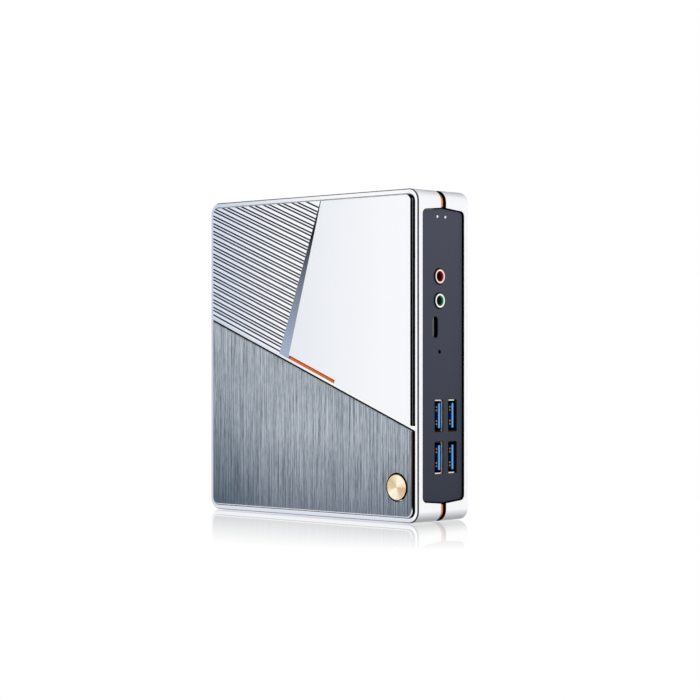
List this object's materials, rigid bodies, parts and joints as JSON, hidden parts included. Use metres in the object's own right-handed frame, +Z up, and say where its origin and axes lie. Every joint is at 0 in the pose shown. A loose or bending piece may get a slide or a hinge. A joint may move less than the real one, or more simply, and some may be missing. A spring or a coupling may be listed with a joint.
{
  "type": "mini desktop computer",
  "caption": "Small square desktop computer standing on its edge, with a patterned metal face, a round power button, two port sides and a vented base cover with feet.",
  "frame": {"origin": "middle of the bottom of the whole object's box, on the surface that the computer stands on", "axes": "+Z up, the decorated face with the power button looks along -Y, the main port side along +X, the base cover and its feet along +Y"},
  "size_m": [0.124, 0.0344, 0.136],
  "materials": {
    "satin_silver": "satin silver, bead blasted",
    "polished_silver": "fine satin silver with bright edges",
    "ribbed_silver": "satin silver ribs",
    "brushed_grey": "dark grey, brushed along its height",
    "orange_accent": "satin orange",
    "gold_spun": "spun in rings, champagne gold",
    "black_plastic": "matte black",
    "port_grey": "matte dark grey, fine grain",
    "rubber": "matte black rubber",
    "steel": "nickel plated",
    "usb_blue": "blue insulator",
    "pink_plastic": "pink jack ring",
    "green_plastic": "green jack ring",
    "clear_plastic": "clear light guide",
    "board": "green solder mask",
    "copper": "bare copper",
    "fin_aluminium": "stamped fins"
  },
  "bodies": {
    "case": {"front_shell": "satin_silver", "rear_shell": "satin_silver", "face_frame": "polished_silver", "smooth_panel": "polished_silver", "ribbed_panel": "ribbed_silver", "brushed_panel": "brushed_grey", "orange_inlay": "orange_accent", "orange_band_top": "orange_accent", "orange_band_bottom": "orange_accent", "panel_carrier": "black_plastic", "power_switch": "black_plastic", "seam_band_top": "black_plastic", "seam_band_bottom": "black_plastic", "mic_jack_body": "black_plastic", "headphone_jack_body": "black_plastic", "usb_c_tongue": "black_plastic", "reset_switch": "black_plastic", "fan_housing": "black_plastic", "memory_socket": "black_plastic", "storage_socket": "black_plastic", "power_inlet": "black_plastic", "port_panel": "port_grey", "rear_port_panel": "port_grey", "base_cover": "port_grey", "foot_1": "rubber", "foot_2": "rubber", "foot_3": "rubber", "foot_4": "rubber", "case_screw_1": "steel", "case_screw_2": "steel", "case_screw_3": "steel", "case_screw_4": "steel", "board_screw_1": "steel", "board_screw_2": "steel", "board_screw_3": "steel", "board_screw_4": "steel", "usb_c_shell": "steel", "usb_upper_shell": "steel", "usb_lower_shell": "steel", "video_port_a": "steel", "video_port_b": "steel", "network_port": "steel", "wireless_module": "steel", "coin_cell": "steel", "usb_upper_core": "usb_blue", "usb_lower_core": "usb_blue", "mic_jack_ring": "pink_plastic", "headphone_jack_ring": "green_plastic", "light_pipe": "clear_plastic", "main_board": "board", "processor": "board", "memory_module": "board", "storage_card": "board", "cold_plate": "copper", "heat_pipe": "copper", "fin_stack": "fin_aluminium"},
    "power_button": {"power_button": "gold_spun", "power_switch_plunger": "black_plastic"},
    "reset_button": {"reset_button": "clear_plastic"},
    "fan_rotor": {"fan_rotor": "black_plastic"}
  },
  "joints": [
    {"name": "power_button_press", "type": "slide", "parent": "case", "child": "power_button", "axis": [0, 1, 0], "range_m": [0, 0.0005], "stiffness_N_per_m": 4000, "springref_m": -0.0002},
    {"name": "reset_button_press", "type": "slide", "parent": "case", "child": "reset_button", "axis": [-1, 0, 0], "range_m": [0, 0.0004], "stiffness_N_per_m": 3000, "springref_m": -0.0002},
    {"name": "fan_spin", "type": "hinge", "parent": "case", "child": "fan_rotor", "pos_m": [-0.0215, 0.003, 0.1034], "axis": [0, 1, 0], "continuous": true}
  ]
}
